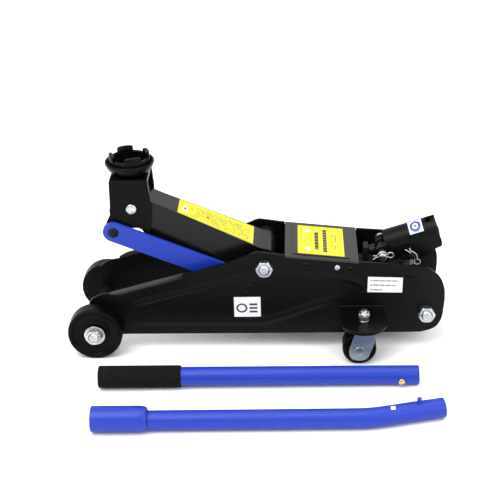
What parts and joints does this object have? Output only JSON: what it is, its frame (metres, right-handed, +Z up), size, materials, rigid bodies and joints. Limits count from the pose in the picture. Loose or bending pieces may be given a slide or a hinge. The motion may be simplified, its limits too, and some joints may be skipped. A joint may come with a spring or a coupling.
{
  "type": "trolley jack",
  "caption": "Hydraulic trolley jack with a tilting lift arm, toothed round saddle, front wheels, rear casters and a two-piece pump handle lying beside it.",
  "frame": {"origin": "centre of the set's footprint on the floor", "axes": "+X from the front wheels to the handle socket, +Y away from the loose handle halves, +Z up"},
  "size_m": [0.4536, 0.3402, 0.2411],
  "materials": {
    "black_paint": "satin black",
    "blue_paint": "gloss blue",
    "zinc": "bright zinc plate",
    "steel": "bare steel",
    "dark_steel": "blackened steel",
    "cast_iron": "dark cast iron",
    "wheel_paint": "satin black",
    "nylon": "moulded nylon",
    "foam": "soft foam",
    "brass": "turned brass"
  },
  "bodies": {
    "chassis": {"left_side_plate": "black_paint", "right_side_plate": "black_paint", "cover_rivet_left": "zinc", "cover_rivet_right": "zinc", "pivot_spacer_left": "dark_steel", "pivot_spacer_right": "dark_steel", "pivot_nut_left": "zinc", "pivot_nut_right": "zinc", "axle_nut_left": "zinc", "axle_nut_right": "zinc", "caster_bracket_left": "black_paint", "caster_bracket_right": "black_paint", "caster_bolt_left": "zinc", "caster_bolt_right": "zinc", "caster_nut_left": "zinc", "caster_nut_right": "zinc", "link_stud_left": "dark_steel", "link_stud_right": "dark_steel", "socket_pin_left": "dark_steel", "socket_pin_right": "dark_steel", "cover_plate": "black_paint", "pivot_shaft": "dark_steel", "front_axle": "dark_steel", "rear_tie_bolt": "dark_steel", "rear_nut": "zinc", "pump_block": "cast_iron", "reservoir_tube": "black_paint", "cylinder_gland": "steel", "r_clip_front": "zinc", "return_spring_left": "steel", "return_spring_right": "steel", "pump_spring": "steel"},
    "front_wheel_left": {"front_wheel_left": "wheel_paint"},
    "caster_swivel_left": {"caster_fork_left": "zinc", "caster_axle_left": "steel"},
    "caster_roller_left": {"caster_wheel_left": "nylon"},
    "link_left": {"left_link": "blue_paint"},
    "front_wheel_right": {"front_wheel_right": "wheel_paint"},
    "caster_swivel_right": {"caster_fork_right": "zinc", "caster_axle_right": "steel"},
    "caster_roller_right": {"caster_wheel_right": "nylon"},
    "link_right": {"right_link": "blue_paint"},
    "arm": {"lift_arm": "black_paint", "ram_pin": "steel", "head_pin": "zinc"},
    "bracket": {"saddle_bracket": "black_paint", "link_pin": "dark_steel"},
    "cup": {"saddle": "cast_iron"},
    "piston": {"ram": "steel"},
    "plunger": {"pump_plunger": "steel"},
    "socket": {"handle_socket": "black_paint", "pump_pin": "dark_steel", "r_clip_rear": "zinc"},
    "yoke": {"valve_yoke": "steel"},
    "valve": {"release_valve": "steel"},
    "upper_handle": {"upper_handle_tube": "blue_paint", "foam_grip": "foam"},
    "button": {"lock_button": "brass"},
    "lower_handle": {"lower_handle_tube": "blue_paint"}
  },
  "joints": [
    {"name": "arm_lift", "type": "hinge", "parent": "chassis", "child": "arm", "pos_m": [0.0115, 0.0676, 0.1115], "axis": [0, 1, 0], "range_deg": [-35, 44]},
    {"name": "saddle_level", "type": "hinge", "parent": "arm", "child": "bracket", "pos_m": [-0.1453, 0.0676, 0.1783], "axis": [0, 1, 0], "range_deg": [-44.5, 35.5]},
    {"name": "saddle_turn", "type": "hinge", "parent": "bracket", "child": "cup", "pos_m": [-0.1468, 0.0676, 0.216], "axis": [0, 0, 1], "continuous": true},
    {"name": "link_swing_left", "type": "hinge", "parent": "chassis", "child": "link_left", "pos_m": [-0.011, 0.03735, 0.084], "axis": [0, 1, 0], "range_deg": [-35.5, 44.5]},
    {"name": "link_swing_right", "type": "hinge", "parent": "chassis", "child": "link_right", "pos_m": [-0.011, 0.09785, 0.084], "axis": [0, 1, 0], "range_deg": [-35.5, 44.5]},
    {"name": "ram_extend", "type": "slide", "parent": "chassis", "child": "piston", "axis": [-1, 0, 0], "range_m": [-0.0245, 0.0308], "deforming": ["return_spring_left", "return_spring_right"]},
    {"name": "pump_handle", "type": "hinge", "parent": "chassis", "child": "socket", "pos_m": [0.153, 0.0676, 0.113], "axis": [0, -1, 0], "range_deg": [-8, 40]},
    {"name": "plunger_stroke", "type": "slide", "parent": "chassis", "child": "plunger", "axis": [0, 0, 1], "range_m": [-0.0048, 0.023], "deforming": ["pump_spring"]},
    {"name": "yoke_turn", "type": "hinge", "parent": "socket", "child": "yoke", "pos_m": [0.153, 0.0676, 0.113], "axis": [0.9511, 0, 0.309], "range_deg": [-360, 0]},
    {"name": "valve_turn", "type": "hinge", "parent": "chassis", "child": "valve", "pos_m": [0.153, 0.0676, 0.113], "axis": [0.9511, 0, 0.309], "range_deg": [-361, 1]},
    {"name": "front_wheel_roll_left", "type": "hinge", "parent": "chassis", "child": "front_wheel_left", "pos_m": [-0.194, 0.0076, 0.033], "axis": [0, 1, 0], "continuous": true},
    {"name": "caster_swivel_turn_left", "type": "hinge", "parent": "chassis", "child": "caster_swivel_left", "pos_m": [0.129, -0.0074, 0.045], "axis": [0, 0, 1], "continuous": true},
    {"name": "caster_roll_left", "type": "hinge", "parent": "caster_swivel_left", "child": "caster_roller_left", "pos_m": [0.1237, -0.0074, 0.02], "axis": [0, 1, 0], "continuous": true},
    {"name": "front_wheel_roll_right", "type": "hinge", "parent": "chassis", "child": "front_wheel_right", "pos_m": [-0.194, 0.1276, 0.033], "axis": [0, 1, 0], "continuous": true},
    {"name": "caster_swivel_turn_right", "type": "hinge", "parent": "chassis", "child": "caster_swivel_right", "pos_m": [0.129, 0.1426, 0.045], "axis": [0, 0, 1], "continuous": true},
    {"name": "caster_roll_right", "type": "hinge", "parent": "caster_swivel_right", "child": "caster_roller_right", "pos_m": [0.1237, 0.1426, 0.02], "axis": [0, 1, 0], "continuous": true},
    {"name": "upper_handle_lift", "type": "slide", "parent": "chassis", "child": "upper_handle", "axis": [0, 0, 1], "range_m": [0, 0.3]},
    {"name": "lower_handle_lift", "type": "slide", "parent": "chassis", "child": "lower_handle", "axis": [0, 0, 1], "range_m": [0, 0.3]},
    {"name": "lock_button_press", "type": "slide", "parent": "upper_handle", "child": "button", "axis": [0.0114, -0.9781, -0.208], "range_m": [-0.004, 0], "stiffness_N_per_m": 300}
  ],
  "couplings": [
    {"joint": "saddle_level", "follows": "arm_lift", "ratio": -1},
    {"joint": "link_swing_left", "follows": "arm_lift", "ratio": 1},
    {"joint": "link_swing_right", "follows": "arm_lift", "ratio": 1},
    {"joint": "ram_extend", "follows": "arm_lift", "m_per_rad": 0.0395},
    {"joint": "plunger_stroke", "follows": "pump_handle", "m_per_rad": 0.0325},
    {"joint": "valve_turn", "follows": "yoke_turn", "ratio": 1}
  ]
}
